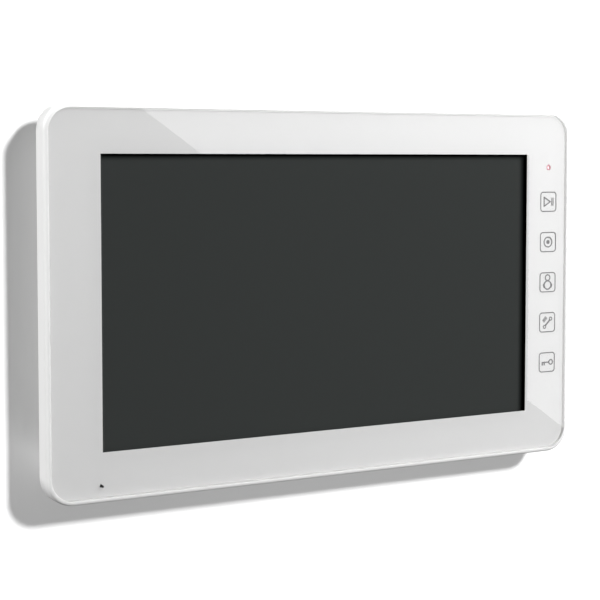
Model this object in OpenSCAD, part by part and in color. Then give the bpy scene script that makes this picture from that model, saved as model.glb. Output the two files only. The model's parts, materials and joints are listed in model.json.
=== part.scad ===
// Wall-mounted video door-phone monitor with a 10-inch screen, its wall bracket and its inner parts.
// Origin: centre of the bracket's back, which lies on the wall. +X is right seen from the front,
// +Z is up and the front faces -Y. "Depth" below means distance from the wall, so Y = -depth.

/* [Case] */
// Width of the case
body_w = 273.6; // [272:0.2:278]
// Height of the case
body_h = 167.6; // [167:0.2:172]
// Depth from the wall to the front of the glass
body_d = 24; // [24:0.5:27]
// Corner radius of the case, seen from the front
case_r = 12; // [11:0.5:13]
// Thickness of the moulded walls
wall = 2; // [1.8:0.1:2.2]
// Width of the rim round the glass
rim_w = 1.85; // [1.7:0.05:1.9]
// How far the rim stands behind the front of the glass
rim_back = 0.3; // [0.1:0.1:0.5]
// Front-to-back depth of the front frame
frame_d = 8.5; // [8.5:0.1:9]

/* [Front panel] */
// Gap between the glass and the rim
glass_gap = 0.25; // [0.2:0.05:0.4]
// Thickness of the front glass
glass_t = 1.7; // [1.5:0.1:2]
// Thickness of the white print behind the glass
print_t = 0.15; // [0.1:0.05:0.2]
// Thickness of the grey key symbols
legend_t = 0.1; // [0.05:0.05:0.15]
// Thickness of the adhesive tape that holds the glass
tape_t = 0.35; // [0.3:0.05:0.5]
// Width of the visible screen
screen_w = 222.72; // [216:0.02:223.5]
// Height of the visible screen
screen_h = 125.28; // [120:0.02:126]

/* [Touch keys] */
// Distance from the middle of the screen to the column of keys
key_x = 124.6; // [124:0.1:125]
// Height of the top key above the middle of the screen
key_top_z = 39.6; // [38:0.1:40]
// Distance between one key and the next
key_pitch = 19.8; // [18:0.1:20]
// Width and height of a key's outline
key_size = 9.9; // [8.5:0.1:10]
// Width of the printed lines
line_w = 0.5; // [0.4:0.05:0.6]
// Height of the power light above the middle of the screen
led_z = 56.3; // [55:0.1:57]

/* [Microphone] */
// Distance of the microphone hole from the middle, towards the left
mic_left = 112.3; // [110:0.1:114]
// Distance of the microphone hole below the middle
mic_below = 76.7; // [76.5:0.1:76.9]
// Diameter of the microphone hole
mic_hole_d = 1; // [0.8:0.1:1.4]

/* [Screen module] */
// Width of the screen module
lcd_w = 235; // [234:0.5:235]
// Height of the screen module
lcd_h = 143; // [142:0.5:143]
// Thickness of the screen module
lcd_t = 5.1; // [5.1:0.1:5.3]
// Thickness of the foam between the print and the module
gasket_t = 1.15; // [1:0.05:1.2]

/* [Rear cover] */
// Width of the rear cover
cover_w = 258; // [256:0.5:259]
// Height of the rear cover
cover_h = 152; // [151.5:0.5:153]
// Gap between the wall and the back of the cover
cover_back = 2.4; // [2.2:0.1:2.6]
// Chamfer round the back of the cover
cover_chamfer = 3; // [2:0.5:3]
// Width of the pocket that takes the bracket
pocket_w = 184; // [176:1:184]
// Height of the pocket
pocket_h = 112; // [104:1:112]

/* [Wall bracket] */
// Width of the bracket plate
plate_w = 150; // [148:1:160]
// Height of the bracket plate
plate_h = 92; // [90:1:96]
// Thickness of the bracket's sheet steel
plate_t = 1.2; // [1:0.1:1.5]
// Distance between the left and right wall screws
bolt_dx = 130; // [128:1:132]
// Distance between the upper and lower wall screws
bolt_dz = 76; // [74:1:78]
// Diameter of the wall screw holes
bolt_hole_d = 4.5; // [4:0.1:5]
// Width of the cable window
cable_w = 78; // [78:1:84]
// Height of the cable window
cable_h = 44; // [36:1:46]

/* [Side controls] */
// Radius of a thumbwheel
wheel_r = 6; // [5.8:0.1:6]
// How far a thumbwheel stands out of the side
wheel_proud = 0.9; // [0.6:0.1:1]
// Travel of the power switch
switch_travel = 3; // [2:0.5:3]

/* [Hidden] */
$fn = 48;

// Depths of the layers, counted from the wall
glass_back = body_d - glass_t;
legend_back = glass_back - legend_t;
print_back = legend_back - print_t;
ledge_front = print_back - tape_t;
ledge_back = ledge_front - 1.2;
frame_front = body_d - rim_back;
bead_front = frame_front - 0.15;
frame_back = frame_front - frame_d;
flange_front = frame_back + 1.2;
lcd_front = print_back - gasket_t;
lcd_back = lcd_front - lcd_t;
sheet_t = 0.4;
chassis_t = 0.8;
chassis_back = lcd_back - chassis_t;
board_t = 1.6;
board_front = chassis_back - 1.5;
board_back = board_front - board_t;
cover_inner = cover_back + wall;
pocket_back = 5;
pocket_front = pocket_back + wall;

// Outlines
side_x = body_w / 2;
top_z = body_h / 2;
inner_x = side_x - wall;
glass_w = body_w - 2 * (rim_w + glass_gap);
glass_h = body_h - 2 * (rim_w + glass_gap);
glass_r = case_r - rim_w - glass_gap;
key_zs = [for (i = [0:4]) key_top_z - i * key_pitch];
mic_x = -mic_left;
mic_z = -mic_below;
led_w = 2;
sign_w = line_w + 0.1;

// Screen module
bezel_window_w = screen_w + 2;
bezel_window_h = screen_h + 2;
cell_w = screen_w + 7;
cell_h = screen_h + 9;
ledge_window_w = lcd_w + 1;
ledge_window_h = lcd_h + 1;

// Touch board behind the keys
touch_x0 = key_x - 6.2;
touch_x1 = key_x + 6.6;
touch_z0 = -50;
touch_z1 = led_z + 3.3;
touch_front = print_back - 0.95;
touch_back = touch_front - 0.9;

// Main board, in X and Z
board_x0 = -88;
board_x1 = 80;
board_z0 = -50;
board_z1 = 46;
standoff_at = [[-84, -46], [-84, 42], [76, -46], [76, 42]];
header_zs = [-38, -22];

// Ears and bosses that hold the chassis to the front frame
ear_x = 121.5;
ear_top_z = 62.6;
ear_low_z = -57;
ear_h = 5.2;

// Case screws
case_screw_x = 122.5;
case_screw_z = 69;
post_r = 3.7;

// Hooks: half spacing, width, neck tops, tab height
hook_x = 52;
hook_w = 10;
hook_zs = [28, -36];
hook_tab = 5;
hook_reach = 8.5;
hook_lift = 7;
fit_gap = 0.3;

// Terminals
terminal_z = -8;
terminal_pitch = 13;
socket_w = 10.6;
socket_h = 6;
socket_back = 6.5;
terminal_window_w = 82;
terminal_window_h = 10;

// Speaker
speaker_x = -110.5;
speaker_z = -24;
speaker_r = 14;
speaker_rim_back = cover_inner + 0.8;

// Side controls
wheel_x = side_x + wheel_proud - wheel_r;
wheel_zs = [-18, -34, -50];
wheel_back = flange_front + 1.6;
wheel_t = 1.9;
pin_r = 1;
pin_gap = 0.05;
adjust_back = flange_front;
adjust_front = adjust_back + 0.8;
adjust_x0 = side_x - 12.4;
adjust_x1 = side_x - 2.4;
switch_z = 42.5;
switch_back = adjust_front + 0.7;
knob_w = 2.2;
knob_t = 1.2;
card_z = 14;
card_slot_w = 11.6;
peg_zs = [-2, 30];

// A flat shape pushed forwards from a depth
module slab(depth, thick) {
    translate([0, -depth, 0])
        rotate([90, 0, 0])
            linear_extrude(thick)
                children();
}

// A box between two X values, two Z values and two depths
module brick(x0, x1, z0, z1, d0, d1) {
    translate([x0, -d1, z0])
        cube([x1 - x0, d1 - d0, z1 - z0]);
}

// A round bar that points forwards
module bar(x, z, d0, d1, r) {
    translate([x, -d0, z])
        rotate([90, 0, 0])
            cylinder(h = d1 - d0, r = r);
}

// A rectangle with round corners
module round_rect(w, h, r) {
    square([w - 2 * r, h], center = true);
    square([w, h - 2 * r], center = true);
    for (x = [-1, 1], z = [-1, 1])
        translate([x * (w / 2 - r), z * (h / 2 - r)])
            circle(r);
}

// A flat rectangle given by its edges
module rect(x0, x1, z0, z1) {
    translate([x0, z0])
        square([x1 - x0, z1 - z0]);
}

// A flat line with round ends
module stroke(a, b, w) {
    length = norm(b - a);
    translate(a)
        rotate(atan2(b[1] - a[1], b[0] - a[0]))
            translate([0, -w / 2])
                square([length, w]);
    translate(a)
        circle(w / 2);
    translate(b)
        circle(w / 2);
}

// A line through several points
module path(points, w) {
    for (i = [0:len(points) - 2])
        stroke(points[i], points[i + 1], w);
}

// A flat ring
module ring(r, w) {
    difference() {
        circle(r + w / 2);
        circle(r - w / 2);
    }
}

// A closed line of round-cornered rectangular shape
module frame_line(w, h, r, line) {
    difference() {
        round_rect(w, h, r);
        round_rect(w - 2 * line, h - 2 * line, r - line);
    }
}

// A cross-head screw seen from behind: its head starts at head_d0 and its shaft ends at tip
module screw(x, z, head_d0, head_t, head_r, tip, shaft_r) {
    difference() {
        union() {
            bar(x, z, head_d0, head_d0 + head_t, head_r);
            bar(x, z, head_d0 + head_t, tip, shaft_r);
        }
        for (a = [0, 90])
            translate([x, -head_d0, z])
                rotate([0, a, 0])
                    cube([head_r * 1.2, head_t, head_r * 0.26], center = true);
    }
}

// A point on the smooth curve through p0..p3, between p1 and p2
function smooth(p0, p1, p2, p3, t) =
    (2 * p1 + (p2 - p0) * t + (2 * p0 - 5 * p1 + 4 * p2 - p3) * t * t
        + (3 * p1 - p0 - 3 * p2 + p3) * t * t * t) / 2;

// The whole curve through a wire's points
function route(points, steps = 4) = let(n = len(points)) [
    for (i = [0:n - 2], j = [0:steps - 1])
        smooth(points[max(i - 1, 0)], points[i], points[i + 1], points[min(i + 2, n - 1)], j / steps),
    points[n - 1]
];

// A round wire through points given as [x, y, z], as one swept tube
module wire(points, r) {
    sides = 8;
    centres = route(points);
    n = len(centres);
    rings = [
        for (i = [0:n - 1])
            let(
                along = centres[min(i + 1, n - 1)] - centres[max(i - 1, 0)],
                t = along / norm(along),
                side = cross(t, [0.3, 0.2, 0.93]),
                u = side / norm(side),
                v = cross(t, u)
            )
            for (k = [0:sides - 1])
                centres[i] + r * (cos(k * 360 / sides) * u + sin(k * 360 / sides) * v)
    ];
    walls = [
        for (i = [0:n - 2], k = [0:sides - 1])
            let(a = i * sides + k, b = i * sides + (k + 1) % sides)
            [a, a + sides, b + sides, b]
    ];
    ends = [
        [for (k = [0:sides - 1]) k],
        [for (k = [sides - 1:-1:0]) (n - 1) * sides + k]
    ];
    polyhedron(points = rings, faces = concat(walls, ends), convexity = 6);
}

// The four corner bosses or posts of the case
module at_case_screws() {
    for (x = [-1, 1], z = [-1, 1])
        translate([x * case_screw_x, 0, z * case_screw_z])
            children();
}

// The four places where the chassis is screwed down
module at_ears() {
    for (x = [-ear_x, ear_x], z = [ear_low_z, ear_top_z])
        translate([x, 0, z])
            children();
}

// One sheet-metal hook of the bracket: neck forwards, tab upwards
module hook(x, neck_top) {
    brick(x - hook_w / 2, x + hook_w / 2, neck_top - plate_t, neck_top, plate_t / 2, hook_reach);
    brick(x - hook_w / 2, x + hook_w / 2, neck_top - plate_t, neck_top + hook_tab,
        hook_reach - plate_t, hook_reach);
}

module wall_bracket() {
    color("silver") {
        slab(0, plate_t)
            difference() {
                round_rect(plate_w, plate_h, 5);
                round_rect(cable_w, cable_h, 4);
                for (x = [-1, 1], z = [-1, 1])
                    translate([x * bolt_dx / 2, z * bolt_dz / 2])
                        circle(bolt_hole_d / 2);
                for (x = [-hook_x, hook_x], z = hook_zs)
                    translate([x, z + 4.5])
                        square([hook_w + 1, 7], center = true);
            }
        for (x = [-hook_x, hook_x], z = hook_zs)
            hook(x, z);
    }
}

module front_glass() {
    color("white", 0.3)
        slab(glass_back, glass_t)
            difference() {
                round_rect(glass_w, glass_h, glass_r);
                translate([mic_x, mic_z])
                    circle(mic_hole_d / 2);
            }
}

module glass_print() {
    color("white")
        slab(print_back, print_t)
            difference() {
                round_rect(glass_w - 0.2, glass_h - 0.2, glass_r - 0.1);
                square([screen_w, screen_h], center = true);
                translate([mic_x, mic_z])
                    circle(mic_hole_d / 2 + 0.2);
                translate([key_x, led_z])
                    circle(led_w / 2 - 0.2);
            }
}

// Outline triangle and two bars
module play_symbol() {
    path([[-2.6, -2.2], [-2.6, 2.2], [1.2, 0], [-2.6, -2.2]], sign_w);
    for (x = [2.1, 2.95])
        stroke([x, -1.8], [x, 1.8], 0.45);
}

// Ring with a dot
module record_symbol() {
    ring(2.4, sign_w);
    circle(1);
}

// Head over rounded shoulders, with an arm on each side
module person_symbol() {
    translate([0, 2.25])
        ring(1.4, sign_w);
    translate([0, -1.4])
        ring(2.05, sign_w);
    for (side = [-1, 1])
        path([[side * 1.75, -0.1], [side * 2.6, -1.3], [side * 2.2, -2.5]], sign_w);
}

// Handset on the slant, with three sound lines at its upper left
module handset_symbol() {
    for (ear = [[-1.6, -2.2], [2.1, 1.7]])
        translate(ear)
            ring(0.75, 0.5);
    stroke([-1, -1.5], [1.5, 1], 0.8);
    translate([-1.5, 1.5])
        rotate(45)
            for (i = [-1:1])
                translate([0, i * 0.6])
                    stroke([-1.3, 0], [1.3, 0], 0.38);
}

// Key with its bow on the right and two bits on the left
module key_symbol() {
    translate([2.4, 0])
        ring(1.15, sign_w);
    stroke([1.3, 0], [-2.9, 0], sign_w);
    for (x = [-2.8, -1.6])
        stroke([x, 0], [x, -1.2], 0.7);
}

module key_legends() {
    color("gray")
        slab(legend_back, legend_t) {
            for (z = key_zs)
                translate([key_x, z])
                    frame_line(key_size, key_size, 1.7, line_w);
            translate([key_x, key_zs[0]])
                play_symbol();
            translate([key_x, key_zs[1]])
                record_symbol();
            translate([key_x, key_zs[2]])
                person_symbol();
            translate([key_x, key_zs[3]])
                handset_symbol();
            translate([key_x, key_zs[4]])
                key_symbol();
        }
}

// Drop shape: a ring that runs up into a point
module power_symbol() {
    color("crimson")
        slab(legend_back, legend_t)
            translate([key_x, led_z])
                difference() {
                    union() {
                        circle(led_w / 2 + 0.3);
                        polygon([[-1, 0.8], [1, 0.8], [0, 1.8]]);
                    }
                    circle(led_w / 2 - 0.25);
                }
}

// Double-sided tape under the edge of the glass
module panel_adhesive() {
    color("ivory")
        slab(ledge_front, tape_t)
            difference() {
                round_rect(glass_w - 0.8, glass_h - 0.8, glass_r - 0.4);
                rect(-127, touch_x0, -75, 75);
                rect(touch_x0 - 1, touch_x1 + 0.4, touch_z0 - 0.3, touch_z1 + 0.3);
                translate([mic_x, mic_z])
                    circle(2);
            }
}

// Bead of white sealant in the gap round the glass
module glass_sealant() {
    color("white")
        slab(ledge_front, bead_front - ledge_front)
            difference() {
                round_rect(glass_w + 2 * glass_gap, glass_h + 2 * glass_gap, glass_r + glass_gap);
                round_rect(glass_w, glass_h, glass_r);
            }
}

// Cross-section of the rim: u runs outwards from the corner's centre, v is depth
module rim_section() {
    lip_r = rim_w - 0.2;
    translate([case_r - rim_w, ledge_front - 1])
        square([rim_w, frame_front - lip_r - ledge_front + 1]);
    translate([case_r - rim_w, ledge_front - 1])
        square([rim_w - lip_r, frame_front - ledge_front + 1]);
    translate([case_r - lip_r, frame_front - lip_r])
        intersection() {
            circle(lip_r);
            square(lip_r);
        }
}

// The rounded rim, swept round the case
module rim() {
    half_x = side_x - case_r;
    half_z = top_z - case_r;
    for (s = [0, 1])
        mirror([s, 0, 0])
            translate([half_x, 0, -half_z])
                linear_extrude(2 * half_z)
                    mirror([0, 1])
                        rim_section();
    for (s = [0, 1])
        mirror([0, 0, s])
            translate([-half_x, 0, half_z])
                rotate([90, 0, 90])
                    linear_extrude(2 * half_x)
                        rotate(90)
                            rim_section();
    for (s = [0, 1], t = [0, 1])
        mirror([s, 0, 0])
            mirror([0, 0, t])
                translate([half_x, 0, half_z])
                    rotate([90, 0, 0])
                        rotate_extrude(angle = 90)
                            rim_section();
}

// Slots in the right-hand wall for the thumbwheels, the switch and the memory card
module side_slots() {
    x0 = inner_x - 0.2;
    x1 = side_x + 1;
    for (z = wheel_zs)
        brick(x0, x1, z - 5.6, z + 5.6, wheel_back - fit_gap, wheel_back + wheel_t + fit_gap);
    brick(x0, x1, switch_z - knob_w / 2 - 0.4, switch_z + switch_travel + knob_w / 2 + 0.4,
        switch_back - fit_gap, switch_back + knob_t + fit_gap);
    brick(x0, x1, card_z - card_slot_w / 2, card_z + card_slot_w / 2, adjust_front + 0.3, adjust_front + 1.4);
}

module front_frame() {
    color("white")
        difference() {
            union() {
                rim();
                slab(frame_back, ledge_front - frame_back)
                    difference() {
                        round_rect(body_w, body_h, case_r);
                        round_rect(body_w - 2 * wall, body_h - 2 * wall, case_r - wall);
                    }
                slab(ledge_back, ledge_front - ledge_back)
                    difference() {
                        round_rect(body_w - wall, body_h - wall, case_r - wall / 2);
                        square([ledge_window_w, ledge_window_h], center = true);
                        rect(0, touch_x1 + fit_gap, touch_z0 - fit_gap, touch_z1 + fit_gap);
                    }
                slab(frame_back, flange_front - frame_back)
                    difference() {
                        round_rect(body_w - wall, body_h - wall, case_r - wall / 2);
                        round_rect(cover_w - 7, cover_h - 3, 6);
                    }
                at_ears()
                    bar(0, 0, lcd_back, ledge_back + 0.2, 2.4);
                at_case_screws()
                    bar(0, 0, frame_back, ledge_back + 0.2, 2.8);
                difference() {
                    bar(mic_x, mic_z, flange_front + 1, ledge_back + 0.2, 4.9);
                    bar(mic_x, mic_z, flange_front, ledge_back, 4);
                }
                for (z = peg_zs) {
                    bar(adjust_x1 - 2.4, z, frame_back, adjust_front, 0.9);
                    bar(adjust_x1 - 2.4, z, adjust_front, adjust_front + 0.6, 1.5);
                }
            }
            at_ears()
                bar(0, 0, lcd_back - 1, lcd_back + 4, 0.85);
            at_case_screws()
                bar(0, 0, frame_back - 1, frame_back + 4.6, 1.3);
            bar(mic_x, mic_z, ledge_back - 1, ledge_front + 1, 1.6);
            side_slots();
        }
}

module lcd_gasket() {
    color("black")
        slab(lcd_front, gasket_t)
            difference() {
                square([screen_w + 9, screen_h + 9], center = true);
                square([screen_w + 1, screen_h + 1], center = true);
            }
}

module lcd_bezel() {
    color("dimgray") {
        slab(lcd_front - sheet_t, sheet_t)
            difference() {
                round_rect(lcd_w, lcd_h, 1);
                square([bezel_window_w, bezel_window_h], center = true);
            }
        slab(lcd_back + sheet_t, lcd_t - sheet_t)
            difference() {
                round_rect(lcd_w, lcd_h, 1);
                square([lcd_w - 2 * sheet_t, lcd_h - 2 * sheet_t], center = true);
            }
    }
}

module lcd_mould_frame() {
    color("white")
        slab(lcd_back + sheet_t, lcd_t - 2 * sheet_t)
            difference() {
                square([lcd_w - 2 * sheet_t - 0.2, lcd_h - 2 * sheet_t - 0.2], center = true);
                square([cell_w + 0.4, cell_h + 0.4], center = true);
            }
}

module lcd_cell() {
    color("darkslategray")
        slab(lcd_front - sheet_t - 1.2, 1.1)
            square([cell_w, cell_h], center = true);
}

module lcd_backlight() {
    color("whitesmoke")
        slab(lcd_back + sheet_t, 2.9)
            square([cell_w, cell_h], center = true);
}

module lcd_rear_tray() {
    color("lightgray")
        slab(lcd_back, sheet_t)
            round_rect(lcd_w, lcd_h, 1);
}

module lcd_driver_board() {
    color("darkgreen")
        difference() {
            union() {
                brick(-100, 100, -70, -52, lcd_back - 0.8, lcd_back);
                for (x = [-78, -26, 26, 78])
                    brick(x - 7, x + 7, -66, -62, lcd_back - 1.8, lcd_back - 0.8);
                brick(-10, 18, -58, -53, lcd_back - 1.8, lcd_back - 0.8);
            }
            brick(-9, 17, -55.5, -52, lcd_back - 1.5, lcd_back - 1.1);
        }
}

// Flat cable from the screen's driver board to the main board, over the chassis edge
module lcd_ribbon() {
    depth_a = lcd_back - 1.3;
    depth_b = board_front + 0.6;
    color("ivory")
        translate([-8, 0, 0])
            rotate([90, 0, 90])
                linear_extrude(24)
                    path([[-depth_a, -54.8], [-depth_a, -51.8], [-depth_b, -51], [-depth_b, -48.4]], 0.2);
}

module chassis_plate() {
    color("lightsteelblue")
        difference() {
            slab(chassis_back, chassis_t) {
                rect(-112, 112, -46, 68);
                for (s = [0, 1])
                    mirror([s, 0]) {
                        rect(104, 112.5, ear_low_z - 3.4, -45);
                        rect(111.5, ear_x + 3, ear_top_z - ear_h / 2, ear_top_z + ear_h / 2);
                        rect(111.5, ear_x + 3, ear_low_z - ear_h / 2, ear_low_z + ear_h / 2);
                    }
            }
            at_ears()
                bar(0, 0, chassis_back - 1, lcd_back + 1, 1.15);
            for (x = [-100:20:100])
                brick(x - 6, x + 6, 56, 60, chassis_back - 1, lcd_back + 1);
        }
}

module chassis_screws() {
    color("silver")
        at_ears()
            screw(0, 0, chassis_back - 1.3, 1.3, 1.9, lcd_back + 3.2, 0.8);
}

module board_standoffs() {
    color("goldenrod")
        for (p = standoff_at)
            difference() {
                bar(p[0], p[1], board_front, chassis_back, 2.6);
                bar(p[0], p[1], board_front - 1, chassis_back + 1, 1.15);
            }
}

module main_board() {
    color("darkgreen")
        difference() {
            slab(board_back, board_t)
                rect(board_x0, board_x1, board_z0, board_z1);
            for (p = standoff_at)
                bar(p[0], p[1], board_back - 1, board_front + 1, 1.2);
        }
}

module board_screws() {
    color("silver")
        for (p = standoff_at)
            screw(p[0], p[1], board_back - 1.3, 1.3, 2, chassis_back - 0.2, 1);
}

module processor_chip() {
    color("black")
        brick(-22, -6, 18, 34, board_back - 1.2, board_back);
}

module memory_chips() {
    color("black")
        for (x = [0, 14])
            brick(x, x + 10, 20, 32, board_back - 1, board_back);
}

module power_inductor() {
    color("dimgray")
        difference() {
            brick(58, 66, -34, -26, board_back - 3.8, board_back);
            bar(62, -30, board_back - 4.5, board_back - 3.2, 2.6);
        }
}

module capacitors() {
    color("silver")
        for (p = [[66, -14], [66, -4], [66, 6], [-74, 30], [-64, 30]])
            translate([p[0], 0, p[1]]) {
                bar(0, 0, board_back - 4.4, board_back - 0.6, 3.1);
                brick(-3.3, 3.3, -3.3, 3.3, board_back - 0.6, board_back);
            }
}

// Sockets on the front of the main board that take the flat cables
module ribbon_connectors() {
    color("linen")
        difference() {
            union() {
                brick(-10, 18, board_z0 + 0.4, board_z0 + 4.6, board_front, board_front + 1.2);
                brick(board_x1 - 5, board_x1 - 0.6, -7, 7, board_front, board_front + 1.2);
                brick(board_x1 - 5, board_x1 - 0.6, -37, -25, board_front, board_front + 1.2);
            }
            brick(-9, 17, board_z0 - 1, board_z0 + 2, board_front + 0.4, board_front + 0.8);
            brick(board_x1 - 2.4, board_x1 + 1, -6, 6, board_front + 0.4, board_front + 0.8);
            brick(board_x1 - 2.4, board_x1 + 1, -36, -26, board_front + 0.4, board_front + 0.8);
        }
}

// A plug-in terminal open towards the wall
module socket_shell(x, w, h) {
    difference() {
        brick(x - w / 2, x + w / 2, terminal_z - h / 2, terminal_z + h / 2, socket_back, board_back);
        brick(x - w / 2 + 0.9, x + w / 2 - 0.9, terminal_z - h / 2 + 1.1, terminal_z + h / 2 - 1.1,
            socket_back - 1, board_back - 1);
        for (s = [-1, 1])
            brick(x + s * 2.5 - 0.8, x + s * 2.5 + 0.8, terminal_z + h / 2 - 1.6, terminal_z + h / 2 + 1,
                socket_back - 1, socket_back + 2.5);
    }
}

module terminal_sockets() {
    color("white")
        for (i = [0:4])
            socket_shell((i - 2.5) * terminal_pitch, socket_w, socket_h);
}

module terminal_pins() {
    color("gold") {
        for (i = [0:4], j = [-1.5:1:1.5]) {
            x = (i - 2.5) * terminal_pitch + j * 2;
            brick(x - 0.3, x + 0.3, terminal_z - 0.3, terminal_z + 0.3, socket_back + 1, board_back - 1);
        }
        for (j = [-1.5, 1.5]) {
            x = 2.5 * terminal_pitch + j;
            brick(x - 0.4, x + 0.4, terminal_z - 0.4, terminal_z + 0.4, socket_back + 1, board_back - 1);
        }
    }
}

module power_socket() {
    color("red")
        socket_shell(2.5 * terminal_pitch, 9.4, 7);
}

// Headers at the board's left edge for the microphone and speaker leads
module wire_headers() {
    color("linen")
        for (z = header_zs)
            difference() {
                brick(board_x0 + 1, board_x0 + 6, z - 3.4, z + 3.4, board_back - 3.6, board_back);
                brick(board_x0 - 1, board_x0 + 4.6, z - 2.6, z + 2.6, board_back - 3, board_back - 0.8);
            }
}

module touch_board() {
    color("darkgreen")
        slab(touch_back, touch_front - touch_back)
            rect(touch_x0, touch_x1, touch_z0, touch_z1);
}

module touch_controller() {
    color("black") {
        brick(touch_x0 + 0.6, touch_x0 + 5.6, 24, 29, touch_back - 0.8, touch_back);
        brick(touch_x0 + 0.6, touch_x0 + 3.6, 32, 38, touch_back - 0.5, touch_back);
    }
}

// Clear sheet that spreads the key light, with a hole for the power light
module key_light_guide() {
    color("white", 0.5)
        slab(touch_front, print_back - touch_front)
            difference() {
                rect(touch_x0, touch_x1, touch_z0, touch_z1);
                translate([key_x, led_z])
                    square(led_w + 0.8, center = true);
            }
}

module indicator_led() {
    color("tomato") {
        brick(key_x - 0.8, key_x + 0.8, led_z - 0.6, led_z + 0.6, touch_front, touch_front + 0.4);
        bar(key_x, led_z, touch_front + 0.4, touch_front + 0.75, 0.55);
    }
}

// Flat cable from the touch board, round the edge of the screen and behind the chassis
module touch_ribbon() {
    d_board = board_front + 0.6;
    gap_x = lcd_w / 2 + 0.4;
    color("ivory")
        translate([0, 0, -6])
            linear_extrude(12)
                mirror([0, 1])
                    path([[touch_x0 + 2, touch_back - 0.12], [touch_x0 + 0.3, touch_back - 0.2],
                        [gap_x, touch_back - 1], [gap_x, chassis_back - 0.2],
                        [gap_x - 1, chassis_back - 0.5], [board_x1 + 3, chassis_back - 0.5],
                        [board_x1 + 1, d_board], [board_x1 - 2, d_board]], 0.2);
}

module mic_capsule() {
    color("silver")
        difference() {
            bar(mic_x, mic_z, flange_front + 1.4, flange_front + 3.2, 3);
            bar(mic_x, mic_z, flange_front + 3, flange_front + 4, 0.7);
        }
}

module mic_boot() {
    color("black")
        difference() {
            bar(mic_x, mic_z, flange_front + 1.3, ledge_back - 0.05, 3.9);
            bar(mic_x, mic_z, flange_front, flange_front + 3.3, 3.1);
            bar(mic_x, mic_z, flange_front, ledge_back + 1, 0.8);
        }
}

// Two leads from the capsule, round the edge of the screen to the header on the board
module mic_wires() {
    header_y = 1.9 - board_back;
    header_z = header_zs[0];
    exit_y = -flange_front - 0.55;
    color("crimson")
        for (s = [-0.5, 0.5])
            wire([[mic_x + s, exit_y - 0.8, mic_z], [mic_x + s, exit_y - 0.35, mic_z + 0.1],
                [mic_x + s, exit_y, mic_z + 0.9], [mic_x + s, exit_y, mic_z + 3],
                [mic_x + s, 0.6 - lcd_back, mic_z + 4.3], [mic_x + 3 + s, -board_front, mic_z + 6.5],
                [mic_x + 10 + s, -board_back, -62], [mic_x + 17 + s, 1.4 - board_back, -50],
                [board_x0 - 3, header_y, header_z - 0.6 - 2 * s],
                [board_x0 + 4, header_y, header_z - 2 * s]], 0.3);
}

module speaker_basket() {
    color("dimgray")
        difference() {
            union() {
                bar(speaker_x, speaker_z, speaker_rim_back, speaker_rim_back + 1, speaker_r);
                bar(speaker_x, speaker_z, speaker_rim_back + 1, speaker_rim_back + 4, speaker_r - 1.6);
            }
            bar(speaker_x, speaker_z, speaker_rim_back - 1, speaker_rim_back + 3.2, speaker_r - 2.4);
            bar(speaker_x, speaker_z, speaker_rim_back + 3, speaker_rim_back + 5, 5.2);
        }
}

module speaker_magnet() {
    color("gray") {
        bar(speaker_x, speaker_z, speaker_rim_back + 4, speaker_rim_back + 7, 8);
        bar(speaker_x, speaker_z, speaker_rim_back + 2.2, speaker_rim_back + 4, 4.6);
    }
}

// Paper cone with a dome in the middle and a rolled edge
module speaker_cone() {
    color("black")
        translate([speaker_x, -speaker_rim_back, speaker_z])
            rotate([90, 0, 0])
                rotate_extrude() {
                    polygon([[3.6, 1.5], [9, 0.5], [9, 0.8], [3.6, 1.8]]);
                    polygon([[0, 0.9], [2, 1.1], [3.6, 1.5], [3.6, 1.8], [2, 1.4], [0, 1.2]]);
                    translate([8.9, 0.4])
                        square([2.6, 0.4]);
                }
}

module speaker_gasket() {
    color("black")
        slab(cover_inner, speaker_rim_back - cover_inner)
            translate([speaker_x, speaker_z])
                difference() {
                    circle(speaker_r);
                    circle(speaker_r - 2);
                }
}

module speaker_screws() {
    color("silver")
        for (s = [-1, 1])
            translate([speaker_x, 0, speaker_z + s * (speaker_r + 2.4)])
                difference() {
                    union() {
                        bar(0, 0, speaker_rim_back + 1, speaker_rim_back + 2.2, 3);
                        bar(0, 0, cover_back + 0.8, speaker_rim_back + 1, 0.95);
                    }
                    for (a = [0, 90])
                        translate([0, -speaker_rim_back - 2.2, 0])
                            rotate([0, a, 0])
                                cube([3.4, 1.2, 0.7], center = true);
                }
}

// Two leads from the speaker's back to the header on the board
module speaker_wires() {
    header_y = 1.9 - board_back;
    header_z = header_zs[1];
    color("black")
        for (s = [-0.5, 0.5])
            wire([[speaker_x + 9, -speaker_rim_back - 4.5, speaker_z + 1 + s],
                [speaker_x + 12, -speaker_rim_back - 5.4, speaker_z + 1.6 + s],
                [speaker_x + 17, header_y, speaker_z + 2 + s],
                [board_x0 - 2, header_y, header_z + 2 * s],
                [board_x0 + 4, header_y, header_z + 2 * s]], 0.4);
}

module adjust_board() {
    color("darkgreen")
        difference() {
            slab(adjust_back, adjust_front - adjust_back) {
                rect(adjust_x0, adjust_x1, -57, 50);
                rect(adjust_x0 - 5.4, adjust_x1, card_z - 8, card_z + 8);
            }
            for (z = peg_zs)
                bar(adjust_x1 - 2.4, z, adjust_back - 1, adjust_front + 1, 1);
        }
}

module adjust_ribbon() {
    d_board = board_front + 0.6;
    color("ivory")
        translate([0, 0, -36])
            linear_extrude(10)
                mirror([0, 1])
                    path([[adjust_x0 + 0.6, adjust_back - 0.12], [adjust_x0 - 2, adjust_back - 0.3],
                        [adjust_x0 - 4, chassis_back - 0.5], [board_x1 + 3, chassis_back - 0.5],
                        [board_x1 + 1, d_board], [board_x1 - 2, d_board]], 0.2);
}

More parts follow.
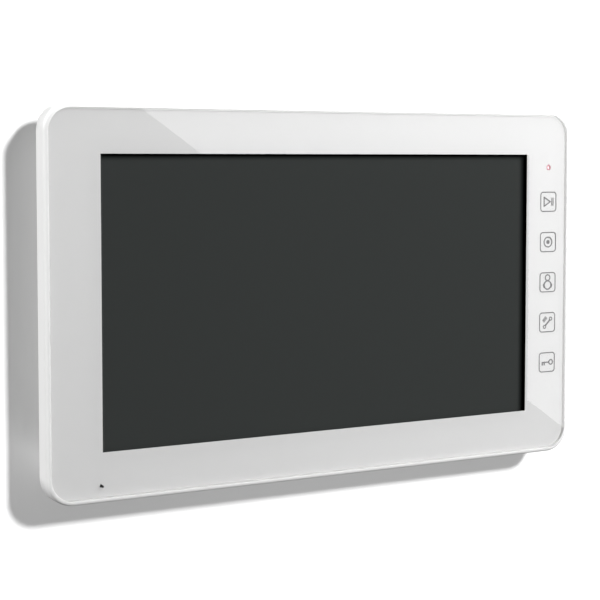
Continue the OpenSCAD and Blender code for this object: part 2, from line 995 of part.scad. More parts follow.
// Flat bodies of the three rotary controls, each with the pin that its wheel turns on
module wheel_bases() {
    color("saddlebrown")
        for (z = wheel_zs) {
            brick(wheel_x - 4.6, adjust_x1, z - 4.6, z + 4.6, adjust_front, adjust_front + 0.55);
            bar(wheel_x, z, adjust_front + 0.5, wheel_back + wheel_t + 0.15, pin_r);
        }
}

// A thin wheel with a grooved edge
module thumbwheel(z) {
    grooves = 30;
    color("white")
        difference() {
            bar(wheel_x, z, wheel_back, wheel_back + wheel_t, wheel_r);
            bar(wheel_x, z, wheel_back - 1, wheel_back + wheel_t + 1, pin_r + pin_gap);
            bar(wheel_x, z, wheel_back + wheel_t - 0.4, wheel_back + wheel_t + 1, wheel_r - 1.6);
            for (i = [0:grooves - 1])
                translate([wheel_x, 0, z])
                    rotate([0, i * 360 / grooves, 0])
                        bar(wheel_r + 0.1, 0, wheel_back - 1, wheel_back + wheel_t + 1, 0.38, $fn = 16);
        }
}

module ring_volume_wheel() {
    thumbwheel(wheel_zs[0]);
}

module talk_volume_wheel() {
    thumbwheel(wheel_zs[1]);
}

module brightness_wheel() {
    thumbwheel(wheel_zs[2]);
}

module power_switch_body() {
    z0 = switch_z - knob_w / 2;
    z1 = switch_z + switch_travel + knob_w / 2;
    color("silver")
        difference() {
            brick(adjust_x1 - 5, adjust_x1 - 0.3, z0 - 1.2, z1 + 1.2, adjust_front, adjust_front + 2.6);
            brick(adjust_x1 - 2.8, adjust_x1 + 1, z0 - fit_gap, z1 + fit_gap,
                switch_back - fit_gap, switch_back + knob_t + fit_gap);
        }
}

module power_switch_knob() {
    z0 = switch_z - knob_w / 2;
    color("black")
        difference() {
            brick(adjust_x1 - 2.4, side_x + 0.7, z0, z0 + knob_w, switch_back, switch_back + knob_t);
            for (i = [1:2])
                brick(side_x + 0.4, side_x + 1, z0 + i * 0.9 - 0.45, z0 + i * 0.9 - 0.05,
                    switch_back - 1, switch_back + 3);
        }
}

module card_socket() {
    color("silver")
        difference() {
            brick(adjust_x0 - 4.6, adjust_x1, card_z - 7, card_z + 7, adjust_front, adjust_front + 1.8);
            brick(adjust_x0 - 3.6, adjust_x1 + 1, card_z - 5.7, card_z + 5.7, adjust_front + 0.35, adjust_front + 1.35);
        }
}

// Profile of the cover with its back edge chamfered, as depth over half the width
module cover_profile(w) {
    polygon([[-w / 2, frame_back], [w / 2, frame_back], [w / 2, cover_back + cover_chamfer],
        [w / 2 - cover_chamfer, cover_back], [-w / 2 + cover_chamfer, cover_back],
        [-w / 2, cover_back + cover_chamfer]]);
}

module cover_block() {
    intersection() {
        slab(cover_back, frame_back - cover_back)
            round_rect(cover_w, cover_h, 10);
        translate([0, 0, -cover_h / 2])
            linear_extrude(cover_h)
                mirror([0, 1])
                    cover_profile(cover_w);
        translate([-cover_w / 2, 0, 0])
            rotate([90, 0, 90])
                linear_extrude(cover_w)
                    rotate(90)
                        cover_profile(cover_h);
    }
}

module rear_cover() {
    channel_w = 24;
    slot_h = plate_t + hook_lift + 2 * fit_gap + 0.2;
    color("white")
        difference() {
            union() {
                difference() {
                    cover_block();
                    slab(cover_inner, frame_back)
                        round_rect(cover_w - 2 * wall - 1, cover_h - 2 * wall - 1, 8);
                }
                slab(cover_inner - 0.5, pocket_front - cover_inner + 0.5) {
                    round_rect(pocket_w + 2 * wall, pocket_h + 2 * wall, 8);
                    rect(-channel_w / 2 - wall, channel_w / 2 + wall, -cover_h / 2 + 1.5, 0);
                }
                at_case_screws()
                    bar(0, 0, cover_inner - 0.5, frame_back, post_r);
                for (s = [-1, 1])
                    bar(speaker_x, speaker_z + s * (speaker_r + 2.4), cover_inner - 0.5, speaker_rim_back, 2.2);
            }
            slab(cover_back - 1, pocket_back - cover_back + 1) {
                round_rect(pocket_w, pocket_h, 6);
                rect(-channel_w / 2, channel_w / 2, -cover_h / 2 - 1, 0);
            }
            for (x = [-hook_x, hook_x], z = hook_zs)
                brick(x - hook_w / 2 - 1, x + hook_w / 2 + 1, z + fit_gap - slot_h, z + fit_gap,
                    pocket_back - 1, pocket_front + 1);
            brick(-terminal_window_w / 2, terminal_window_w / 2, terminal_z - terminal_window_h / 2,
                terminal_z + terminal_window_h / 2, pocket_back - 1, pocket_front + 1);
            at_case_screws() {
                bar(0, 0, cover_back - 1, 11.2, 2.7);
                bar(0, 0, 11, frame_back + 1, 1.4);
            }
            for (s = [-1, 1])
                bar(speaker_x, speaker_z + s * (speaker_r + 2.4), cover_back + 0.6, speaker_rim_back + 1, 1);
            for (x = [-78:6:78])
                brick(x - 0.9, x + 0.9, 61, 70, cover_back - 1, cover_inner + 1);
            for (i = [-4:4]) {
                half = sqrt(pow(speaker_r - 2.6, 2) - pow(i * 2.4, 2));
                brick(speaker_x - half, speaker_x + half, speaker_z + i * 2.4 - 0.6, speaker_z + i * 2.4 + 0.6,
                    cover_back - 1, cover_inner + 1);
            }
        }
}

module case_screws() {
    color("dimgray")
        at_case_screws()
            screw(0, 0, 9.2, 2, 2.4, frame_back + 4, 1.25);
}

module rubber_pads() {
    color("black")
        for (x = [-100, 100], z = [-66, 66])
            bar(x, z, 0.2, cover_back, 5);
}

wall_bracket();
front_glass();
glass_print();
key_legends();
power_symbol();
panel_adhesive();
glass_sealant();
front_frame();
lcd_gasket();
lcd_bezel();
lcd_mould_frame();
lcd_cell();
lcd_backlight();
lcd_rear_tray();
lcd_driver_board();
lcd_ribbon();
chassis_plate();
chassis_screws();
board_standoffs();
main_board();
board_screws();
processor_chip();
memory_chips();
power_inductor();
capacitors();
ribbon_connectors();
terminal_sockets();
terminal_pins();
power_socket();
wire_headers();
touch_board();
touch_controller();
key_light_guide();
indicator_led();
touch_ribbon();
mic_capsule();
mic_boot();
mic_wires();
speaker_basket();
speaker_magnet();
speaker_cone();
speaker_gasket();
speaker_screws();
speaker_wires();
adjust_board();
adjust_ribbon();
wheel_bases();
ring_volume_wheel();
talk_volume_wheel();
brightness_wheel();
power_switch_body();
power_switch_knob();
card_socket();
rear_cover();
case_screws();
rubber_pads();
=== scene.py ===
"""Looks for the wall-mounted video door-phone monitor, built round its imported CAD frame.

Metres throughout. The origin is the centre of the wall bracket's back, +X is right seen from the
front, +Z is up and the front faces -Y.
"""

import json
import math

import bpy
from mathutils import Matrix, Vector


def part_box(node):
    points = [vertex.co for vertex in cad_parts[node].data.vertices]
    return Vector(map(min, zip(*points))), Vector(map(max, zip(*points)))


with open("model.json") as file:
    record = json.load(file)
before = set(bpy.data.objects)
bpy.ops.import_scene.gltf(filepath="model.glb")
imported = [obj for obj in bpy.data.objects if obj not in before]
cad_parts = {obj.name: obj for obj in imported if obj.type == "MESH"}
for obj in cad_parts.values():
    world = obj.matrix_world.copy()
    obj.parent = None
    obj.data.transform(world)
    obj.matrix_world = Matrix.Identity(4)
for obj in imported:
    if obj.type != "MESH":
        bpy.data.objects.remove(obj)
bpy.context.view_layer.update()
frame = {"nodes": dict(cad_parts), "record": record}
MM = 0.001
scene = bpy.context.scene
nodes = frame["nodes"]


# ---------------------------------------------------------------- measures

# Front of the glass, back of the key signs printed behind it, and the middle of the microphone
FRONT_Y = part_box("front_glass")[0].y
SIGNS_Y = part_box("key_legends")[1].y
MIC = sum(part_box("mic_capsule"), Vector()) / 2
# Visible area of a 10.1 inch screen, which is the window in the print
SCREEN_W, SCREEN_H = 222.72 * MM, 125.28 * MM


# ---------------------------------------------------------------- camera

# Place of the camera, seen from its aim on the panel, in degrees and metres
VIEW_AZIMUTH, VIEW_ELEVATION, VIEW_DISTANCE = -29.88, 3.63, 0.7001
VIEW_AIM = Vector((-15.9 * MM, SIGNS_Y, 15.4 * MM))
# Focal length and sensor width in millimetres, and the lens shift as a share of the picture
LENS, SENSOR, SHIFT_Y = 93.97, 36.0, -0.0667


def direction(azimuth, elevation):
    """Unit vector from the object towards a place seen at that azimuth and elevation, in degrees."""
    a, e = math.radians(azimuth), math.radians(elevation)
    return Vector((math.sin(a) * math.cos(e), -math.cos(a) * math.cos(e), math.sin(e)))


def make_camera():
    """The camera stands left of the monitor and looks a little down on it."""
    back = direction(VIEW_AZIMUTH, VIEW_ELEVATION)
    cam = bpy.data.objects.new("camera", bpy.data.cameras.new("camera"))
    cam.data.sensor_width = SENSOR
    cam.data.lens = LENS
    cam.data.shift_y = SHIFT_Y
    cam.data.clip_start = 0.05
    cam.data.clip_end = 20.0
    cam.location = VIEW_AIM + back * VIEW_DISTANCE
    cam.rotation_mode = "QUATERNION"
    cam.rotation_quaternion = (-back).to_track_quat("-Z", "Y")
    scene.collection.objects.link(cam)
    scene.camera = cam
    return cam


camera = make_camera()


# ---------------------------------------------------------------- shader helpers

class Shader:
    """A node tree being built, with one short method for each node that the materials use."""

    def __init__(self, name):
        self.material = bpy.data.materials.new(name)
        self.material.use_nodes = True
        self.tree = self.material.node_tree
        self.tree.nodes.clear()
        self.output = self.node("ShaderNodeOutputMaterial")
        self.coords = self.node("ShaderNodeTexCoord").outputs["Object"]

    def node(self, kind, **settings):
        made = self.tree.nodes.new(kind)
        for key, value in settings.items():
            setattr(made, key, value)
        return made

    def feed(self, socket, value):
        """Links another node's output to the socket, or sets the socket's own value."""
        if isinstance(value, bpy.types.NodeSocket):
            self.tree.links.new(value, socket)
        elif value is not None:
            socket.default_value = value

    def stretched(self, scale):
        """The place on the object, scaled along each axis."""
        made = self.node("ShaderNodeMapping")
        self.feed(made.inputs["Vector"], self.coords)
        made.inputs["Scale"].default_value = scale
        return made.outputs["Vector"]

    def noise(self, scale, detail=2.0, rough=0.5, where=None):
        made = self.node("ShaderNodeTexNoise")
        self.feed(made.inputs["Vector"], where or self.coords)
        made.inputs["Scale"].default_value = scale
        made.inputs["Detail"].default_value = detail
        made.inputs["Roughness"].default_value = rough
        return made.outputs["Fac"]

    def cells(self, scale, out="Distance"):
        made = self.node("ShaderNodeTexVoronoi")
        self.feed(made.inputs["Vector"], self.coords)
        made.inputs["Scale"].default_value = scale
        return made.outputs[out]

    def math(self, operation, a, b=None):
        made = self.node("ShaderNodeMath", operation=operation)
        for socket, value in zip(made.inputs, (a, b)):
            self.feed(socket, value)
        return made.outputs[0]

    def spread(self, value, low, high, from_low=0.0, from_high=1.0, smooth=False):
        """The value, moved from one range to another and held inside it."""
        made = self.node("ShaderNodeMapRange")
        if smooth:
            made.interpolation_type = "SMOOTHSTEP"
        ends = {"From Min": from_low, "From Max": from_high, "To Min": low, "To Max": high}
        for name, number in ends.items():
            made.inputs[name].default_value = number
        self.feed(made.inputs["Value"], value)
        return made.outputs["Result"]

    def mix(self, factor, a, b):
        """Colour a where the factor is 0, and colour b where it is 1."""
        made = self.node("ShaderNodeMix", data_type="RGBA")
        self.feed(made.inputs["Factor"], factor)
        self.feed(made.inputs["A"], rgba(a))
        self.feed(made.inputs["B"], rgba(b))
        return made.outputs["Result"]

    def xyz(self):
        """The place on the object as three numbers, in metres."""
        made = self.node("ShaderNodeSeparateXYZ")
        self.feed(made.inputs[0], self.coords)
        return made.outputs

    def bump(self, height, strength, depth, under=None):
        """A surface direction that follows the height, on top of a coarser bump if one is given."""
        made = self.node("ShaderNodeBump")
        made.inputs["Strength"].default_value = strength
        made.inputs["Distance"].default_value = depth
        self.feed(made.inputs["Height"], height)
        self.feed(made.inputs["Normal"], under)
        return made.outputs["Normal"]

    def principled(self, **inputs):
        made = self.node("ShaderNodeBsdfPrincipled")
        for name, value in inputs.items():
            self.feed(made.inputs[name.replace("_", " ")], value)
        return made.outputs[0]

    def blend(self, factor, surface_a, surface_b):
        """Surface a where the factor is 0, and surface b where it is 1."""
        made = self.node("ShaderNodeMixShader")
        for socket, value in zip(made.inputs, (factor, surface_a, surface_b)):
            self.feed(socket, value)
        return made.outputs[0]

    def finish(self, surface):
        self.feed(self.output.inputs["Surface"], surface)
        return self.material


def rgba(colour):
    """A colour with its opacity added. A node's output passes through as it is."""
    return (*colour, 1.0) if isinstance(colour, tuple) else colour


def shade(colour, factor):
    """The same colour, darker or paler."""
    return tuple(min(1.0, c * factor) for c in colour)


# ---------------------------------------------------------------- materials

def moulded(name, colour, rough, peel=0.10, grain=0.05, **extra):
    """Injection-moulded plastic: slow tint drift, orange peel and a fine spark-eroded grain."""
    s = Shader(name)
    base = s.mix(s.noise(35.0, 3.0), shade(colour, 0.97), shade(colour, 1.03))
    roughness = s.spread(s.noise(240.0, 4.0), rough - 0.06, rough + 0.06)
    soft = s.bump(s.noise(420.0, 2.0), peel, 0.12 * MM)
    normal = s.bump(s.noise(3200.0, 3.0), grain, 0.03 * MM, soft)
    return s.finish(s.principled(Base_Color=base, Roughness=roughness, Normal=normal, **extra))


def rolled_metal(name, colour, rough, spangle=0.0):
    """Sheet metal with a rolling grain along X, and zinc spangle if asked for."""
    s = Shader(name)
    lines = s.noise(300.0, 5.0, 0.7, s.stretched((1.0, 40.0, 40.0)))
    base = s.mix(lines, shade(colour, 0.86), shade(colour, 1.08))
    if spangle:
        level = s.node("ShaderNodeRGBToBW")
        s.feed(level.inputs[0], s.cells(180.0, "Color"))
        base = s.mix(s.spread(level.outputs[0], 0.0, spangle), base, shade(colour, 1.25))
    roughness = s.spread(lines, rough - 0.08, rough + 0.12)
    normal = s.bump(lines, 0.12, 0.02 * MM)
    return s.finish(s.principled(Base_Color=base, Metallic=1.0, Roughness=roughness, Normal=normal))


def circuit_board(name):
    """Solder mask over copper: traces and pours show as a slightly paler, raised pattern, with gold pads."""
    bare_mask, masked_copper, gold = (0.012, 0.10, 0.045), (0.03, 0.20, 0.08), (0.75, 0.52, 0.2)
    s = Shader(name)
    maze = s.node("ShaderNodeTexBrick", offset=0.37, squash=0.6)
    turned = s.node("ShaderNodeMapping")
    s.feed(turned.inputs["Vector"], s.coords)
    turned.inputs["Rotation"].default_value = (math.radians(90), 0.0, 0.0)
    s.feed(maze.inputs["Vector"], turned.outputs["Vector"])
    maze.inputs["Scale"].default_value = 190.0
    maze.inputs["Mortar Size"].default_value = 0.09
    maze.inputs["Mortar Smooth"].default_value = 0.2
    for socket, tone in (("Color1", 0), ("Color2", 0), ("Mortar", 1)):
        maze.inputs[socket].default_value = (tone, tone, tone, 1)
    traces = s.math("GREATER_THAN", maze.outputs["Color"], 0.5)
    broken = s.math("GREATER_THAN", s.noise(90.0, 1.0), 0.47)
    lines = s.math("MULTIPLY", traces, broken)
    pads = s.math("LESS_THAN", s.cells(260.0), 0.12)
    base = s.mix(lines, bare_mask, masked_copper)
    base = s.mix(pads, base, gold)
    normal = s.bump(lines, 0.35, 0.035 * MM)
    roughness = s.spread(s.noise(900.0), 0.28, 0.42)
    return s.finish(s.principled(Base_Color=base, Roughness=roughness, Metallic=pads, Normal=normal))


def foam(name, colour):
    """Soft closed-cell foam, with its cut cells showing."""
    s = Shader(name)
    cut_cells = s.cells(2600.0)
    base = s.mix(cut_cells, shade(colour, 0.5), shade(colour, 1.6))
    normal = s.bump(cut_cells, 0.6, 0.06 * MM)
    return s.finish(s.principled(Base_Color=base, Roughness=0.95, Normal=normal))


def speckled(name, colour, rough, size=1500.0, metal=0.0):
    """Fine grain: dark ferrite, moulded chip epoxy, blackened screws."""
    s = Shader(name)
    grain = s.noise(size, 5.0, 0.75)
    base = s.mix(grain, shade(colour, 0.7), shade(colour, 1.35))
    normal = s.bump(grain, 0.25, 0.03 * MM)
    roughness = s.spread(grain, rough - 0.08, rough + 0.08)
    return s.finish(s.principled(Base_Color=base, Roughness=roughness, Metallic=metal, Normal=normal))


def flat_cable(name):
    """White flat cable whose copper conductors show through as faint stripes along it."""
    s = Shader(name)
    wave = s.node("ShaderNodeTexWave", wave_type="BANDS", bands_direction="DIAGONAL", wave_profile="SIN")
    s.feed(wave.inputs["Vector"], s.stretched((1.0, 0.0, 1.0)))
    wave.inputs["Scale"].default_value = 330.0
    stripes = s.spread(wave.outputs["Fac"], 0.0, 0.5, 0.35, 0.65)
    base = s.mix(stripes, (0.72, 0.71, 0.68), (0.45, 0.38, 0.30))
    normal = s.bump(wave.outputs["Fac"], 0.3, 0.04 * MM)
    roughness = s.spread(s.noise(700.0), 0.3, 0.45)
    return s.finish(s.principled(Base_Color=base, Roughness=roughness, Normal=normal))


def fibre(name, colour):
    """Pressed paper pulp or tissue-backed tape."""
    s = Shader(name)
    pulp = s.noise(2200.0, 6.0, 0.8)
    slow = s.noise(160.0, 3.0)
    base = s.mix(pulp, shade(colour, 0.75), shade(colour, 1.25))
    base = s.mix(s.spread(slow, 0.0, 0.3), base, shade(colour, 0.8))
    normal = s.bump(pulp, 0.35, 0.05 * MM)
    return s.finish(s.principled(Base_Color=base, Roughness=0.85, Normal=normal))


def turned_metal(name, colour, rough):
    """Bright metal with fine tool marks, for brass parts and aluminium cans."""
    s = Shader(name)
    marks = s.noise(2600.0, 2.0, 0.6, s.stretched((1.0, 8.0, 1.0)))
    base = s.mix(marks, shade(colour, 0.9), shade(colour, 1.06))
    roughness = s.spread(marks, rough - 0.06, rough + 0.08)
    normal = s.bump(marks, 0.08, 0.02 * MM)
    return s.finish(s.principled(Base_Color=base, Metallic=1.0, Roughness=roughness, Normal=normal))


def printed_white(name):
    """White ink behind the glass: a faint screen-mesh mottle and a slow, slightly warm drift."""
    s = Shader(name)
    mesh = s.noise(1800.0, 3.0, 0.6)
    drift = s.noise(14.0, 2.0)
    base = s.mix(mesh, (0.565, 0.565, 0.565), (0.59, 0.59, 0.59))
    base = s.mix(s.spread(drift, 0.0, 0.35), base, (0.585, 0.585, 0.58))
    roughness = s.spread(mesh, 0.64, 0.66)
    return s.finish(s.principled(Base_Color=base, Roughness=roughness))


def ink(name, colour, rough=0.5):
    """Screen-printed line ink: edges stay even, with small density changes."""
    s = Shader(name)
    density = s.noise(2400.0, 4.0, 0.7)
    base = s.mix(density, shade(colour, 0.88), shade(colour, 1.12))
    roughness = s.spread(density, rough - 0.05, rough + 0.05)
    return s.finish(s.principled(Base_Color=base, Roughness=roughness))


def border_mask(s):
    """0 inside the screen window and 1 on the border round it, from the place on the panel."""
    soft = 0.05 * MM
    x, _, z = s.xyz()
    across = s.spread(s.math("ABSOLUTE", x), 1.0, 0.0, SCREEN_W / 2 - soft, SCREEN_W / 2 + soft)
    up = s.spread(s.math("ABSOLUTE", z), 1.0, 0.0, SCREEN_H / 2 - soft, SCREEN_H / 2 + soft)
    return s.math("SUBTRACT", 1.0, s.math("MULTIPLY", across, up))


def panel_glass(name):
    """Clear glass, polished over the border and etched against glare over the screen."""
    skin = 0.4 * MM
    s = Shader(name)
    smears = s.noise(28.0, 4.0, 0.6, s.stretched((1.0, 1.0, 2.2)))
    fresnel = s.node("ShaderNodeFresnel")
    fresnel.inputs["IOR"].default_value = 1.5
    gloss = s.node("ShaderNodeBsdfAnisotropic")
    gloss.inputs["Color"].default_value = (1.0, 1.0, 1.0, 1.0)
    s.feed(gloss.inputs["Roughness"], s.spread(smears, 0.004, 0.022))
    clear = s.node("ShaderNodeBsdfTransparent")
    clear.inputs["Color"].default_value = (0.985, 0.985, 0.985, 1.0)
    in_front = s.math("LESS_THAN", s.xyz()[1], FRONT_Y + skin)
    polished = s.math("MULTIPLY", border_mask(s), in_front)
    pane = s.blend(s.math("MULTIPLY", fresnel.outputs[0], polished), clear.outputs[0], gloss.outputs[0])
    return s.finish(cut_edges(s, pane))


def cut_edges(s, surface):
    """The pane's surface, and over it what its cut edges do.

    Seen from inside, a cut edge reflects totally, so the print seems to run on to the rim. The wall of the
    microphone hole is painted black, a painted shade that stands in for the dark inside of the hole.
    """
    hole_reach = 0.7 * MM
    geometry = s.node("ShaderNodeNewGeometry")
    facing = s.node("ShaderNodeSeparateXYZ")
    s.feed(facing.inputs[0], geometry.outputs["True Normal"])
    cut = s.math("LESS_THAN", s.math("ABSOLUTE", facing.outputs[1]), 0.5)
    seen = s.math("SUBTRACT", 1.0, s.node("ShaderNodeLightPath").outputs["Is Shadow Ray"])
    mirror = s.node("ShaderNodeBsdfAnisotropic")
    mirror.inputs["Color"].default_value = (0.97, 0.97, 0.97, 1.0)
    mirror.inputs["Roughness"].default_value = 0.0
    inside = s.math("MULTIPLY", cut, geometry.outputs["Backfacing"])
    mirrored = s.blend(s.math("MULTIPLY", inside, seen), surface, mirror.outputs[0])
    x, _, z = s.xyz()
    away = s.math("ADD", s.math("POWER", s.math("SUBTRACT", x, MIC.x), 2.0),
                  s.math("POWER", s.math("SUBTRACT", z, MIC.z), 2.0))
    hole = s.math("MULTIPLY", s.math("LESS_THAN", away, hole_reach ** 2), cut)
    # Painted shade: black on the microphone hole's wall stands in for the shade inside the hole
    painted_hole_shade = s.principled(Base_Color=(0.01, 0.01, 0.01, 1.0), Roughness=0.7)
    return s.blend(s.math("MULTIPLY", hole, seen), mirrored, painted_hole_shade)


def unlit_screen(name):
    """The dark, switched-off screen: matt polariser, with a painted shadow that darkens it to black along its
    top and right edges, where the bezel would shade it.
    """
    s = Shader(name)
    x, _, z = s.xyz()
    # Painted shadow: the screen's colour fades to black within a few millimetres of its top and right edges
    from_right = s.spread(x, 1.0, 0.0, SCREEN_W / 2 - 4.2 * MM, SCREEN_W / 2 - 0.2 * MM, smooth=True)
    from_top = s.spread(z, 1.0, 0.0, SCREEN_H / 2 - 3.2 * MM, SCREEN_H / 2 - 0.2 * MM, smooth=True)
    clear_of_painted_shadow = s.math("MULTIPLY", from_right, from_top)
    etch = s.noise(5200.0, 2.0)
    grey = s.mix(etch, (0.0340, 0.0372, 0.0361), (0.0388, 0.0422, 0.0410))
    base = s.mix(clear_of_painted_shadow, (0.0, 0.0, 0.0), grey)
    roughness = s.spread(etch, 0.75, 0.85)
    normal = s.bump(etch, 0.05, 0.01 * MM)
    return s.finish(s.principled(Base_Color=base, Roughness=roughness, Normal=normal, Specular_IOR_Level=0.0))


# One material for each slot of the record, and lit_lens for the power light
MATERIALS = {
    "zinc_steel": rolled_metal("zinc_steel", (0.60, 0.61, 0.63), 0.38, spangle=0.35),
    "clear_glass": panel_glass("clear_glass"),
    "white_print": printed_white("white_print"),
    "grey_ink": ink("grey_ink", (0.06, 0.06, 0.062)),
    "red_ink": ink("red_ink", (0.36, 0.12, 0.15), 0.35),
    "tape": fibre("tape", (0.88, 0.88, 0.87)),
    "white_sealant": moulded("white_sealant", (0.86, 0.86, 0.85), 0.6, peel=0.25, grain=0.02),
    "white_abs": moulded("white_abs", (0.80, 0.80, 0.795), 0.38),
    "black_foam": foam("black_foam", (0.012, 0.012, 0.012)),
    "bare_steel": rolled_metal("bare_steel", (0.55, 0.56, 0.58), 0.3),
    "milky_plastic": moulded("milky_plastic", (0.72, 0.72, 0.73), 0.5),
    "dark_screen": unlit_screen("dark_screen"),
    "light_guide": moulded("light_guide", (0.85, 0.86, 0.88), 0.25, Transmission_Weight=0.4),
    "circuit_board": circuit_board("circuit_board"),
    "flat_cable": flat_cable("flat_cable"),
    "brass": turned_metal("brass", (0.80, 0.60, 0.28), 0.22),
    "chip_black": speckled("chip_black", (0.022, 0.022, 0.024), 0.55),
    "ferrite": speckled("ferrite", (0.075, 0.075, 0.08), 0.6, 900.0),
    "can_aluminium": turned_metal("can_aluminium", (0.78, 0.79, 0.80), 0.3),
    "cream_plastic": moulded("cream_plastic", (0.76, 0.71, 0.60), 0.45),
    "red_plastic": moulded("red_plastic", (0.55, 0.03, 0.03), 0.4),
    "lit_lens": moulded("lit_lens", (0.93, 0.45, 0.5), 0.4, Emission_Color=(1.0, 0.42, 0.48, 1.0),
                        Emission_Strength=1.8),
    "black_rubber": moulded("black_rubber", (0.025, 0.025, 0.026), 0.8, peel=0.2, grain=0.25),
    "cone_paper": fibre("cone_paper", (0.045, 0.045, 0.05)),
    "black_plastic": moulded("black_plastic", (0.035, 0.035, 0.037), 0.42),
    "black_steel": speckled("black_steel", (0.06, 0.06, 0.065), 0.4, 1200.0, metal=0.8),
}


# ---------------------------------------------------------------- CAD nodes: finish each one in place

# Rounding of the sharp edges in millimetres: the usual one, and the nodes that have another
USUAL_EDGE_MM = 0.06
EDGE_MM = {
    "front_frame": 0.25, "rear_cover": 0.5, "wall_bracket": 0.2, "glass_print": 0.0, "key_legends": 0.0,
    "power_symbol": 0.0, "lcd_cell": 0.0, "mic_wires": 0.0, "speaker_wires": 0.0, "speaker_cone": 0.0,
    "rubber_pads": 0.5, "front_glass": 0.22, "processor_chip": 0.1, "memory_chips": 0.1,
}


def finish_edges(obj, width):
    """Joins the facets of each flat face, and rounds the edges between faces that meet sharply."""
    same_point, same_plane, sharp = 0.002 * MM, math.radians(0.5), math.radians(32)
    weld = obj.modifiers.new("weld", "WELD")
    weld.merge_threshold = same_point
    flat = obj.modifiers.new("flat", "DECIMATE")
    flat.decimate_type = "DISSOLVE"
    flat.angle_limit = same_plane
    if width:
        round_off = obj.modifiers.new("round_off", "BEVEL")
        round_off.width = width
        round_off.segments = 2
        round_off.limit_method = "ANGLE"
        round_off.angle_limit = sharp
        round_off.use_clamp_overlap = True
        round_off.harden_normals = True


for entry in frame["record"]["subparts"]:
    node, slot = entry["node"], entry["material_slot"]
    obj = nodes[node]
    obj.data.materials.clear()
    obj.data.materials.append(MATERIALS["lit_lens" if node == "indicator_led" else slot])
    finish_edges(obj, EDGE_MM.get(node, USUAL_EDGE_MM) * MM)


# ---------------------------------------------------------------- floor and wall

STAGE_SIZE = 8.0
FLOOR_Z = -0.6
# The wall stands this far behind the bracket, so that the two faces don't flicker into each other
WALL_GAP = 0.5 * MM


def stage_material(name, grey, one_sided=False):
    """Matt paint with a faint mottle. Where it is one-sided, its back is clear."""
    s = Shader(name)
    base = s.mix(s.noise(3.0, 3.0), (grey * 0.99,) * 3, (grey * 1.01,) * 3)
    paint = s.principled(Base_Color=base, Roughness=0.9, Specular_IOR_Level=0.0)
    if not one_sided:
        return s.finish(paint)
    behind = s.node("ShaderNodeNewGeometry").outputs["Backfacing"]
    return s.finish(s.blend(behind, paint, s.node("ShaderNodeBsdfTransparent").outputs[0]))


def stage_plane(name, location, rotation, material):
    """A large square that faces +Z before it is turned. It throws no light or shadow on the object."""
    half = STAGE_SIZE / 2
    corners = [(-half, -half, 0), (half, -half, 0), (half, half, 0), (-half, half, 0)]
    mesh = bpy.data.meshes.new(name)
    mesh.from_pydata(corners, [], [(0, 1, 2, 3)])
    mesh.materials.append(material)
    plane = bpy.data.objects.new(name, mesh)
    plane.location = location
    plane.rotation_euler = rotation
    plane.visible_diffuse = plane.visible_glossy = plane.visible_shadow = False
    scene.collection.objects.link(plane)
    return plane


UPRIGHT = math.radians(90)
floor = stage_plane("floor", (0, 0, FLOOR_Z), (0, 0, 0), stage_material("floor", 0.86))
wall = stage_plane("wall", (0, WALL_GAP, 0), (UPRIGHT, 0, 0), stage_material("wall", 0.80, one_sided=True))


# ---------------------------------------------------------------- lights

# The key light hangs to the upper right of the monitor and looks past its right end, so that the light falls
# off towards the left end
KEY_PLACE = direction(17.4, 26.3) * 2.6
KEY_AIM = (0.34, 0, 0.15)
KEY_SIZE = 0.26
# How wide a lamp throws its light, in degrees: all round its face, or in a cone
OPEN, HOODED = 180.0, 70.0


def softbox(name, location, aim, width, height, power, spread=OPEN):
    """A rectangular lamp that the camera doesn't see."""
    data = bpy.data.lights.new(name, "AREA")
    data.shape = "RECTANGLE"
    data.size, data.size_y = width, height
    data.energy = power
    data.spread = math.radians(spread)
    lamp = bpy.data.objects.new(name, data)
    lamp.location = location
    towards = (Vector(aim) - Vector(location)).normalized()
    lamp.rotation_mode = "QUATERNION"
    lamp.rotation_quaternion = towards.to_track_quat("-Z", "Y")
    lamp.visible_camera = False
    scene.collection.objects.link(lamp)
    return lamp


def group_of(name, members):
    """A loose collection that a lamp's light linking reads."""
    made = bpy.data.collections.new(name)
    for member in members:
        made.objects.link(member)
    return made


def light_only(lamp, members):
    """The lamp lights these pieces and nothing else."""
    lamp.light_linking.receiver_collection = group_of(lamp.name + "_lights", members)


def key_light(name, power, spread, lights, shaded_by=None):
    """One share of the key light, which lights only some pieces. All shares hang in one place."""
    lamp = softbox(name, KEY_PLACE, KEY_AIM, KEY_SIZE, KEY_SIZE, power, spread)
    light_only(lamp, lights)
    if shaded_by:
        lamp.light_linking.blocker_collection = group_of(name + "_shaded_by", shaded_by)


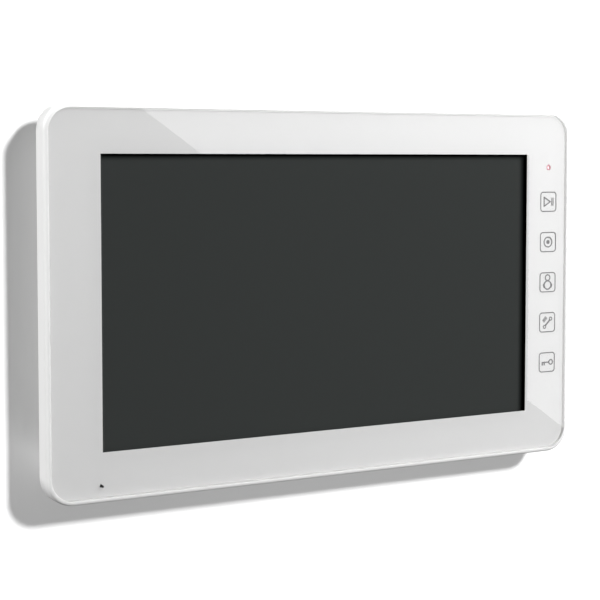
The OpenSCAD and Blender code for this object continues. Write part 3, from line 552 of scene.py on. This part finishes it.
def glare_card(power):
    """A card up on the right that shows only in the glass, where its lower left edge is a slanting line.

    The line runs across the front of the glass between two points, and each ray from the eye's mirror image
    through it meets the card's edge.
    """
    glare_from = Vector((-93.6 * MM, FRONT_Y, 81.6 * MM))
    glare_to = Vector((133.7 * MM, FRONT_Y, -72.4 * MM))
    length, depth, distance = 2.2, 1.1, 1.6
    eye = camera.location.copy()
    eye.y = 2 * FRONT_Y - eye.y
    middle = (glare_from + glare_to) / 2
    away = (middle - eye).normalized()
    centre = middle + away * distance

    def on_card(point):
        ray = point - eye
        return eye + ray * ((centre - eye).dot(away) / ray.dot(away))

    edge_a, edge_b = on_card(glare_from), on_card(glare_to)
    edge = (edge_b - edge_a).normalized()
    outward = edge.cross(away).normalized()
    if outward.z < 0:
        outward = -outward
    place = (edge_a + edge_b) / 2 + outward * depth / 2
    data = bpy.data.lights.new("glare_card", "AREA")
    data.shape = "RECTANGLE"
    data.size, data.size_y = length, depth
    data.energy = power
    lamp = bpy.data.objects.new("glare_card", data)
    lamp.matrix_world = Matrix((
        (edge.x, outward.x, away.x, place.x),
        (edge.y, outward.y, away.y, place.y),
        (edge.z, outward.z, away.z, place.z),
        (0, 0, 0, 1)))
    lamp.visible_diffuse = False
    lamp.visible_camera = False
    scene.collection.objects.link(lamp)


def floor_light(strength):
    """Even light from above for the floor alone."""
    data = bpy.data.lights.new("floor_light", "SUN")
    data.energy = strength
    data.angle = math.radians(30)
    lamp = bpy.data.objects.new("floor_light", data)
    lamp.location = (0, 0, 2)
    light_only(lamp, [floor])
    scene.collection.objects.link(lamp)


def studio_world(light, backdrop):
    """Even light all round, with a paler backdrop where the wall and floor end."""
    world = bpy.data.worlds.new("studio")
    world.use_nodes = True
    tree = world.node_tree
    tree.nodes.clear()
    mixed = tree.nodes.new("ShaderNodeMixShader")
    tree.links.new(tree.nodes.new("ShaderNodeLightPath").outputs["Is Camera Ray"], mixed.inputs[0])
    for socket, strength in ((mixed.inputs[1], light), (mixed.inputs[2], backdrop)):
        background = tree.nodes.new("ShaderNodeBackground")
        background.inputs["Color"].default_value = (1.0, 1.0, 1.0, 1.0)
        background.inputs["Strength"].default_value = strength
        tree.links.new(background.outputs[0], socket)
    tree.links.new(mixed.outputs[0], tree.nodes.new("ShaderNodeOutputWorld").inputs["Surface"])
    return world


panel = [nodes[name] for name in ("front_glass", "glass_print", "key_legends", "power_symbol",
                                  "panel_adhesive", "glass_sealant")]
key_light("wall_key", power=85.0, spread=OPEN, lights=[wall])
key_light("body_key", power=10.9, spread=HOODED, lights=[obj for obj in nodes.values() if obj not in panel])
# Real glass carries light sideways under its edge, so the rim puts no shadow on the print behind it
round_the_glass = ("front_frame", "panel_adhesive", "glass_sealant")
key_light("panel_key", power=11.65, spread=HOODED, lights=panel,
          shaded_by=[nodes[name] for name in nodes if name not in round_the_glass])
softbox("left_fill", location=(-2.2, 0.4, 1.2), aim=(-0.13, -0.015, 0.0), width=0.25, height=0.9, power=60.0)
low_fill = softbox("low_fill", location=(0.05, -0.2, -0.42), aim=(0.0, 0.0, -0.09),
                   width=0.5, height=0.1, power=0.98)
light_only(low_fill, [wall])
softbox("back_light", location=(0.9, 2.2, 1.2), aim=(0, 0, 0), width=1.2, height=1.2, power=5.0, spread=90.0)
glare_card(power=21.0)
floor_light(strength=2.3)
scene.world = studio_world(light=0.24, backdrop=0.80)

scene.view_settings.view_transform = "Standard"
scene.view_settings.look = "None"
